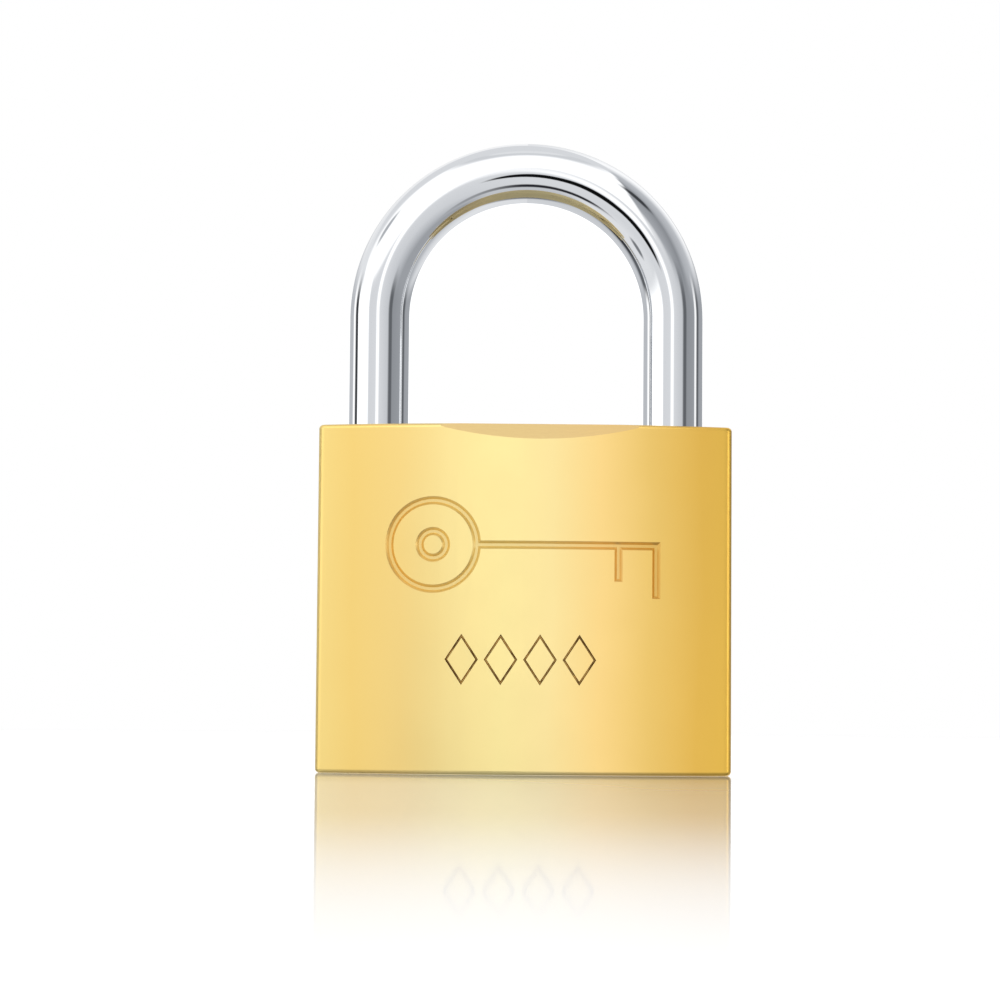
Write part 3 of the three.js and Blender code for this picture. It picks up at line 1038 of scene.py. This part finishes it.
# The room as polished metal shows it. Directions are degrees to the right of straight ahead of the lock, and
# degrees up.
room = {
    "level": [                 # greys round the lock at eye level
        (-180, 0.52), (-120, 0.52), (-116, 1.1), (-106, 1.1), (-102, 0.05), (-91, 0.05), (-88, 1.3),
        (-44, 1.3), (-38, 0.70), (-12, 0.72), (-8, 1.2), (-2, 1.2), (3, 0.72), (34, 0.60), (40, 0.13),
        (49, 0.13), (53, 0.30), (88, 0.34), (91, 1.0), (99, 1.0), (103, 0.10), (112, 0.14), (118, 0.36),
        (180, 0.40),
    ],
    "high": [                  # above that, up to the ceiling
        (-180, 0.95), (-120, 0.80), (-90, 0.80), (-60, 1.0), (12, 1.05), (26, 0.40), (60, 0.28), (78, 0.45),
        (110, 0.55), (128, 0.80), (150, 1.05), (180, 0.80),
    ],
    "low": [                   # below it
        (-180, 0.68), (-130, 0.60), (-121, 0.42), (-114, 0.12), (-104, 0.12), (-98, 0.45), (-90, 0.78),
        (-60, 0.78), (-35, 0.70), (0, 0.72), (25, 0.66), (45, 0.50), (60, 0.36), (90, 0.36), (110, 0.50),
        (125, 0.68), (150, 0.80), (180, 0.76),
    ],
    "deep": [                  # near the lock's foot
        (-180, 0.12), (-120, 0.20), (-78, 0.42), (-50, 0.56), (60, 0.58), (82, 0.34), (110, 0.12),
        (180, 0.12),
    ],
    "ceilingFoot": [           # the height at which the white ceiling begins
        (-180, 48), (-100, 30), (-80, 18), (10, 14), (22, 27), (35, 41), (50, 51), (70, 60), (100, 64),
        (180, 52),
    ],
    "lowToLevel": (-8, 3),     # heights over which one ring of greys turns into the next
    "levelToHigh": (11, 24),
    "lowToDeep": (-52, -66),
    "ceiling": 1.12,
    "ceilingEdge": 1.5,
    "overhead": [(62, 72, 0.66), (76, 80, 0.78)],    # greyer from one height to another
    "ceilingBehind": (85, 105, 0.72),                # greyer behind the lock, by direction
    "patches": [               # right, up, half width, half height, grey, softness
        (-17, -6, 6, 7, 0.004, 0.4), (-12, -12, 8, 7, 0.004, 0.4), (-3, -16, 10, 6, 0.004, 0.4),
        (-62, -22, 6, 5, 0.20, 0.8), (-77, 38, 8, 6, 0.45, 0.8), (54, 47, 11, 5, 0.05, 0.9),
        (-108, -38, 9, 16, 0.04, 0.7), (98, -47, 9, 14, 0.03, 0.7), (112, -56, 14, 7, 0.06, 0.9),
    ],
    "benchLow": -56,           # a dark edge that runs round the front, below
    "benchRise": 0.0062,
    "benchHalf": 6.0,
    "benchEnd": 50,
    "benchTone": (0.02, 0.02, 0.025),
    "backdropFrom": (160, 166),                      # the patch behind the lock, by direction and height
    "backdropHeight": (9, 12),
}


def coolGrey(grey):  # the darker greys are slightly blue
    tint = 0.06 * max(0.0, 1 - grey)
    return (grey * (1 - tint), grey, grey * (1 + tint * 1.6))


def makeWorld():
    world = bpy.data.worlds.new("studioRoom")
    bpy.context.scene.world = world
    shading = Shading(world)
    x, y, z = shading.parts(shading.node("TexCoord").outputs["Generated"])
    azimuth = shading.maths("ARCTAN2", x, -y) * (180 / math.pi)
    height = shading.maths("ARCSINE", z) * (180 / math.pi)
    around = azimuth / 360 + 0.5
    away = shading.maths("ABSOLUTE", azimuth)

    def bands(name):
        stops = [((angle + 180) / 360, coolGrey(grey)) for angle, grey in room[name]]
        return shading.node("ValToRGB", {"stops": stops}, {0: around}).outputs[0]

    def paint(share, under, grey):
        return shading.blendColours(share, under, colour(*coolGrey(grey)))

    seen = shading.blendColours(shading.ease(height, *room["lowToLevel"]), bands("low"), bands("level"))
    seen = shading.blendColours(shading.ease(height, *room["levelToHigh"]), seen, bands("high"))
    seen = shading.blendColours(shading.ease(height, *room["lowToDeep"]), seen, bands("deep"))
    stops = [((angle + 180) / 360, [foot / 90] * 3) for angle, foot in room["ceilingFoot"]]
    foot = shading.parts(shading.node("ValToRGB", {"stops": stops}, {0: around}).outputs[0])[0] * 90
    top = colour(*[room["ceiling"]] * 3)
    for start, end, grey in room["overhead"]:
        top = paint(shading.ease(height, start, end), top, grey)
    start, end, grey = room["ceilingBehind"]
    top = paint(shading.ease(away, start, end), top, grey)
    edge = room["ceilingEdge"]
    seen = shading.blendColours(shading.ease(height - foot, -edge, edge), seen, top)
    for right, up, halfWidth, halfHeight, grey, softness in room["patches"]:
        across, along = (azimuth - right) / halfWidth, (height - up) / halfHeight
        apart = (across * across + along * along) ** 0.5
        seen = paint(1 - shading.ease(apart, 1 - softness / 2, 1 + softness / 2), seen, grey)
    benchHeight = room["benchLow"] + azimuth * azimuth * room["benchRise"]
    fromBench = shading.maths("ABSOLUTE", height - benchHeight)
    bench = 1 - shading.ease(fromBench, room["benchHalf"] * 0.5, room["benchHalf"] * 1.4)
    bench = bench * (1 - shading.ease(away, room["benchEnd"] - 10, room["benchEnd"] + 5))
    bench = bench * (1 - shading.ease(azimuth, 0, 45) * 0.6)
    seen = shading.blendColours(bench, seen, colour(*room["benchTone"]))
    offLevel = shading.maths("ABSOLUTE", height)
    backdrop = shading.ease(away, *room["backdropFrom"])
    backdrop = backdrop * (1 - shading.ease(offLevel, *room["backdropHeight"]))
    seen = shading.blendColours(backdrop, seen, colour(*[studio["backdrop"]] * 3))
    # Plain white for the eye and for light on the floor, the painted room for mirrors and metal.
    rays = shading.node("LightPath").outputs
    toFloor = Amount(shading, rays["Is Diffuse Ray"])
    plainRay = toFloor + Amount(shading, rays["Is Camera Ray"])
    reflected = shading.node("Background", None, {"Color": seen, "Strength": 1.0})
    strength = 1 + toFloor * (studio["floorLight"] - 1)
    plain = shading.node("Background", None, {"Color": colour(1, 1, 1), "Strength": strength})
    both = shading.node("MixShader", None, {0: plainRay, 1: reflected.outputs[0], 2: plain.outputs[0]})
    shading.node("OutputWorld", None, {"Surface": both.outputs[0]})


def makeFloor():
    startFresh()
    bpy.ops.mesh.primitive_circle_add(vertices=96, radius=studio["floorReach"], fill_type="NGON")
    floor = bpy.context.object
    floor.name = "paleFloor"
    floor.scale = (millimetre, millimetre, millimetre)
    applyPlace(floor)
    material = bpy.data.materials.new("whiteGloss")
    shading = Shading(material)
    x, y, _ = shading.parts(shading.place())
    outX = shading.maths("MAXIMUM", shading.maths("ABSOLUTE", x) - body.size.x / 2, 0.0)
    outY = shading.maths("MAXIMUM", shading.maths("ABSOLUTE", y) - body.size.y / 2, 0.0)
    apart = (outX * outX + outY * outY) ** 0.5
    facing = Amount(shading, shading.node("LayerWeight", None, {"Blend": 0.5}).outputs["Facing"])
    near = 1 - shading.ease(apart, studio["mirrorStart"], studio["mirrorEnd"])
    share = near * studio["mirrorShare"] * facing ** 2
    white = colour(*[studio["floorWhite"]] * 3)
    ahead = shading.maths("MAXIMUM", -y - body.size.y / 2, 0.0)
    beside = shading.maths("ABSOLUTE", x) - body.size.x / 2 + ahead * studio["shadeTaper"]
    inFront = (1 - shading.ease(beside, 0.0, 1.5)) * (1 - shading.ease(y, -7, -5))
    soft = shading.ease(x, -12, 8) * (1 - shading.ease(apart, studio["shadeStart"], studio["shadeEnd"]))
    contact = 1 - shading.ease(apart, 0.0, studio["contactEnd"])
    lightLeft = 1 - soft * inFront * studio["nearShade"]
    lightLeft = lightLeft * (1 - contact * inFront * studio["contactShade"])
    tone = shading.blendColours(lightLeft, colour(0, 0, 0), white)
    matt = shading.node("BsdfDiffuse", None, {"Color": tone})
    mirrorInputs = {"Color": colour(*[studio["mirrorTone"]] * 3), "Roughness": studio["mirrorRoughness"]}
    mirror = shading.node("BsdfGlossy", None, mirrorInputs)
    both = shading.node("MixShader", None, {0: share, 1: matt.outputs[0], 2: mirror.outputs[0]})
    shading.node("OutputMaterial", None, {"Surface": both.outputs[0]})
    floor.data.materials.append(material)
    floor.visible_glossy = False  # polished metal shows the room below it instead


# Soft lamps that light only the brass, so that its satin face is even: name, place, aim, size and power.
brassLamps = [
    ("frontLamp", (40, -300, 90), (0, 0, 12), (620, 420), 0.235),
    ("sideLamp", (190, -250, 60), (0, 0, 12), (320, 320), 0.02),
    ("edgeLamp", (190, -80, 20), (0, 0, 12), (90, 90), 0.035),
    ("footLamp", (0, -60, 2), (0, 0, 4), (160, 14), 0.0006),
]


def makeBrassLamps(pieces):
    lit = bpy.data.collections.new("litBrass")
    for piece in pieces:
        lit.objects.link(piece)
    for name, place, aim, size, power in brassLamps:
        startFresh()
        place, aim = Vector(place) * millimetre, Vector(aim) * millimetre
        turn = (aim - place).to_track_quat("-Z", "Y").to_euler()
        bpy.ops.object.light_add(type="AREA", location=place, rotation=turn)
        lamp = bpy.context.object
        lamp.name = name
        lamp.data.shape = "RECTANGLE"
        lamp.data.size, lamp.data.size_y = (length * millimetre for length in size)
        lamp.data.energy = power
        lamp.light_linking.receiver_collection = lit
        lamp.visible_camera = False


cameraView = {
    "location": (0.000174, -0.170, 0.005016),
    "pitch": 3.954,            # degrees upwards
    "yaw": -0.578,             # degrees to the right
    "roll": 0.475,
    "lens": 99.2,
    "sensor": 36.0,
}


def makeCamera(view):
    data = bpy.data.cameras.new("viewCamera")
    camera = bpy.data.objects.new("viewCamera", data)
    bpy.context.scene.collection.objects.link(camera)
    data.lens = view["lens"]
    data.sensor_width = view["sensor"]
    data.clip_start = 0.005
    data.clip_end = 10
    turn = (
        Matrix.Rotation(-math.radians(view["yaw"]), 4, "Z")
        @ Matrix.Rotation(math.radians(90 + view["pitch"]), 4, "X")
        @ Matrix.Rotation(math.radians(view["roll"]), 4, "Z")
    )
    camera.rotation_euler = turn.to_euler()
    camera.location = view["location"]
    bpy.context.scene.camera = camera


makeWorld()
makeFloor()
makeBrassLamps([brassBody])
makeCamera(cameraView)
bpy.context.scene.view_settings.view_transform = "Standard"
print("studio made")
